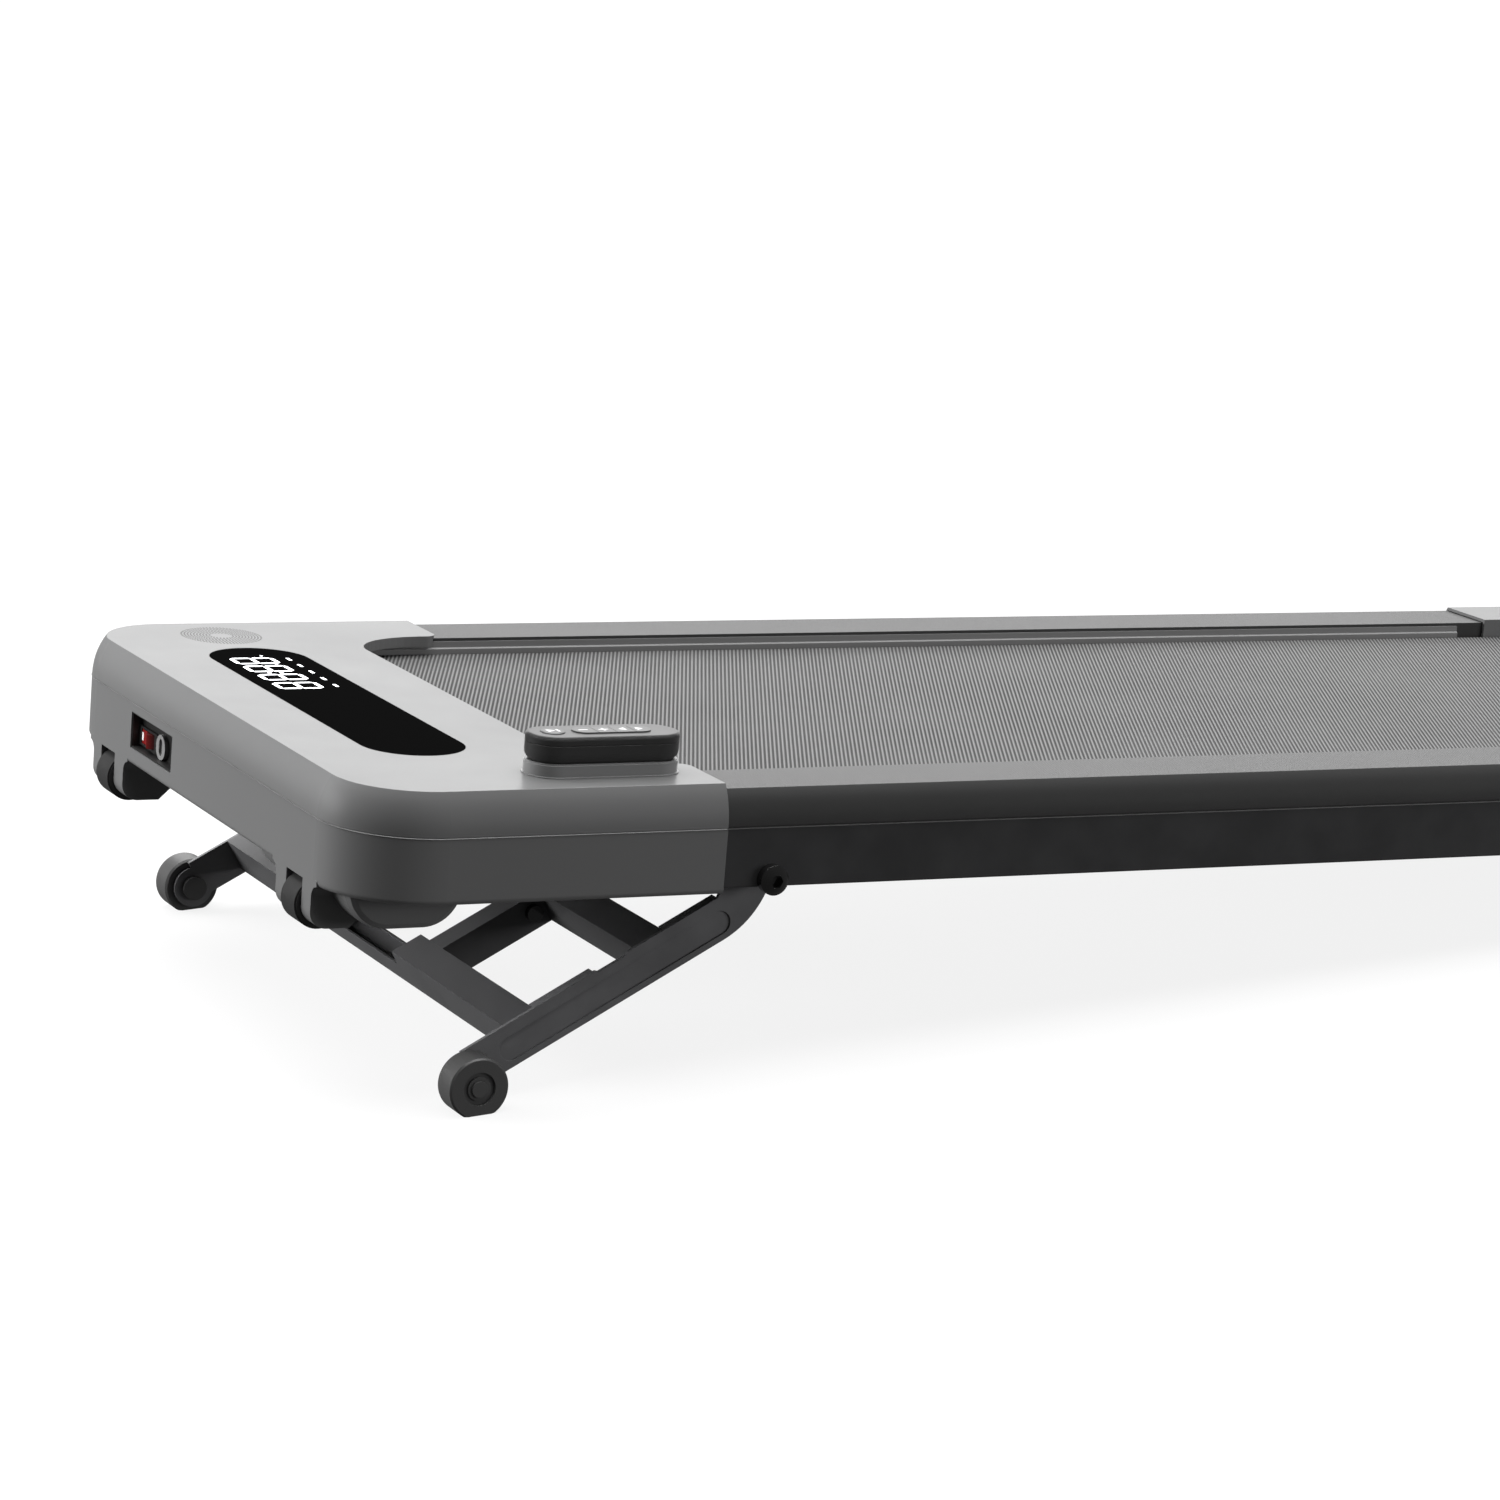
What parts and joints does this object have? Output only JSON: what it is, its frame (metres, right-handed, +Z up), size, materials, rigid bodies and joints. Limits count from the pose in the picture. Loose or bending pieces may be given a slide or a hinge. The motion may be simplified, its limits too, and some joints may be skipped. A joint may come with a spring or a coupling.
{
  "type": "walking pad",
  "caption": "Low treadmill with a belt between side rails, a moulded front hood with display and switch, a folding front leg that tilts the deck, and a lift-off remote.",
  "frame": {"origin": "centre of the bounding box at floor level, standing on its front and rear feet with the leg deployed", "axes": "+X from the hood to the rear end, +Y to the right of a person on the belt who faces the display, +Z up"},
  "size_m": [1.297, 0.5776, 0.2383],
  "materials": {
    "deck_steel": "satin black powder coat",
    "frame_steel": "matt black paint",
    "deck_wood": "black faced fibreboard",
    "rubber_black": "matt",
    "rail_plastic": "fine grained dark grey",
    "trim_grey": "light grey",
    "hood_silver": "silver grey satin",
    "hood_lower": "silver grey satin",
    "lens_black": "gloss black",
    "circuit_green": "circuit board",
    "plastic_black": "matt black",
    "rocker_red": "dark red",
    "grommet_grey": "light grey",
    "motor_body": "grey",
    "roller_steel": "turned steel",
    "belt_fabric": "ribbed dark grey belt",
    "drive_rubber": "ribbed drive belt",
    "bolt_steel": "zinc plated",
    "bolt_black": "black oxide",
    "leg_steel": "black powder coat",
    "foot_plastic": "matt black",
    "wheel_black": "matt black",
    "actuator_alloy": "drawn aluminium",
    "actuator_case": "dark grey",
    "remote_dark": "dark grey satin",
    "remote_face": "light silver grey",
    "key_grey": "light grey"
  },
  "bodies": {
    "chassis": {"side_beam_left": "deck_steel", "side_beam_right": "deck_steel", "front_frame": "frame_steel", "cross_members": "frame_steel", "deck_board": "deck_wood", "deck_cushions": "rubber_black", "rail_cover_left": "rail_plastic", "rail_cover_right": "rail_plastic", "rail_trims": "trim_grey", "rear_end_cap_left": "hood_silver", "rear_end_cap_right": "hood_silver", "hood_top": "hood_silver", "hood_base": "hood_lower", "display_lens": "lens_black", "display_board": "circuit_green", "speaker": "plastic_black", "switch_panel": "plastic_black", "power_switch_housing": "plastic_black", "cord_grommet": "grommet_grey", "drive_motor": "motor_body", "motor_bracket": "frame_steel", "drive_belt": "drive_rubber", "front_roller_axle": "bolt_steel", "rear_roller_axle": "bolt_steel", "belt_tension_bolts": "bolt_steel", "running_belt": "belt_fabric", "control_board": "circuit_green", "wheel_axles": "bolt_steel", "pivot_bolts": "bolt_black", "actuator_bracket": "frame_steel", "actuator_base_pin": "bolt_steel", "rear_feet": "rubber_black", "remote_cradle": "hood_silver"},
    "power_rocker": {"power_switch_rocker": "rocker_red"},
    "motor_shaft": {"motor_pulley": "roller_steel"},
    "roller_front": {"front_roller": "roller_steel"},
    "roller_rear": {"rear_roller": "roller_steel"},
    "wheel_left": {"transport_wheel_left": "wheel_black"},
    "wheel_right": {"transport_wheel_right": "wheel_black"},
    "leg": {"leg_arm_left": "leg_steel", "leg_arm_right": "leg_steel", "leg_lower_tube": "leg_steel", "leg_upper_tube": "leg_steel", "leg_struts": "leg_steel", "leg_strut_bolts": "bolt_black", "leg_actuator_lug": "leg_steel", "foot_pins": "bolt_black"},
    "foot_pad_left": {"foot_left": "foot_plastic"},
    "foot_pad_right": {"foot_right": "foot_plastic"},
    "actuator": {"actuator_motor": "actuator_case", "actuator_tube": "actuator_alloy"},
    "actuator_screw": {"actuator_rod": "bolt_steel", "actuator_lug_pin": "bolt_steel"},
    "remote": {"remote_body": "remote_dark", "remote_faceplate": "remote_face"},
    "round_button": {"remote_round_button": "key_grey"},
    "key_1": {"remote_key_1": "key_grey"},
    "key_2": {"remote_key_2": "key_grey"},
    "key_3": {"remote_key_3": "key_grey"},
    "key_4": {"remote_key_4": "key_grey"}
  },
  "joints": [
    {"name": "leg_fold", "type": "hinge", "parent": "chassis", "child": "leg", "pos_m": [-0.34329, 0, 0.13296], "axis": [0, 1, 0], "range_deg": [0, 26]},
    {"name": "foot_swivel_left", "type": "hinge", "parent": "leg", "child": "foot_pad_left", "pos_m": [-0.55566, -0.268, 0.0178], "axis": [0, 1, 0], "range_deg": [-30, 10]},
    {"name": "foot_swivel_right", "type": "hinge", "parent": "leg", "child": "foot_pad_right", "pos_m": [-0.55566, 0.268, 0.0178], "axis": [0, 1, 0], "range_deg": [-30, 10]},
    {"name": "actuator_tilt", "type": "hinge", "parent": "chassis", "child": "actuator", "pos_m": [-0.6112, 0, 0.16845], "axis": [0, -1, 0], "range_deg": [0, 14.2]},
    {"name": "actuator_stroke", "type": "slide", "parent": "actuator", "child": "actuator_screw", "axis": [0.873, 0, -0.4878], "range_m": [-0.0325, 0]},
    {"name": "front_roller_spin", "type": "hinge", "parent": "chassis", "child": "roller_front", "pos_m": [-0.48018, 0, 0.17396], "axis": [0, 1, 0], "continuous": true},
    {"name": "rear_roller_spin", "type": "hinge", "parent": "chassis", "child": "roller_rear", "pos_m": [0.61047, 0, 0.07646], "axis": [0, 1, 0], "continuous": true},
    {"name": "motor_spin", "type": "hinge", "parent": "chassis", "child": "motor_shaft", "pos_m": [-0.57534, -0.23, 0.16525], "axis": [0, 1, 0], "continuous": true},
    {"name": "wheel_spin_left", "type": "hinge", "parent": "chassis", "child": "wheel_left", "pos_m": [-0.63106, -0.18275, 0.13158], "axis": [0, 1, 0], "continuous": true},
    {"name": "wheel_spin_right", "type": "hinge", "parent": "chassis", "child": "wheel_right", "pos_m": [-0.63106, 0.18275, 0.13158], "axis": [0, 1, 0], "continuous": true},
    {"name": "power_rocker_tilt", "type": "hinge", "parent": "chassis", "child": "power_rocker", "pos_m": [-0.62903, 0.1185, 0.17105], "axis": [0.089, 0, 0.996], "range_deg": [0, 24]},
    {"name": "remote_lift", "type": "slide", "parent": "chassis", "child": "remote", "axis": [0.089, 0, 0.996], "range_m": [0, 0.04]},
    {"name": "round_button_press", "type": "slide", "parent": "remote", "child": "round_button", "axis": [-0.089, 0, -0.996], "range_m": [0, 0.001], "stiffness_N_per_m": 400, "springref_m": -0.0005},
    {"name": "key_1_press", "type": "slide", "parent": "remote", "child": "key_1", "axis": [-0.089, 0, -0.996], "range_m": [0, 0.001], "stiffness_N_per_m": 400, "springref_m": -0.0005},
    {"name": "key_2_press", "type": "slide", "parent": "remote", "child": "key_2", "axis": [-0.089, 0, -0.996], "range_m": [0, 0.001], "stiffness_N_per_m": 400, "springref_m": -0.0005},
    {"name": "key_3_press", "type": "slide", "parent": "remote", "child": "key_3", "axis": [-0.089, 0, -0.996], "range_m": [0, 0.001], "stiffness_N_per_m": 400, "springref_m": -0.0005},
    {"name": "key_4_press", "type": "slide", "parent": "remote", "child": "key_4", "axis": [-0.089, 0, -0.996], "range_m": [0, 0.001], "stiffness_N_per_m": 400, "springref_m": -0.0005}
  ],
  "couplings": [
    {"joint": "actuator_tilt", "follows": "leg_fold", "ratio": 0.54128},
    {"joint": "actuator_stroke", "follows": "leg_fold", "m_per_rad": -0.070995},
    {"joint": "rear_roller_spin", "follows": "front_roller_spin", "ratio": 1},
    {"joint": "motor_spin", "follows": "front_roller_spin", "ratio": 2.0329}
  ]
}
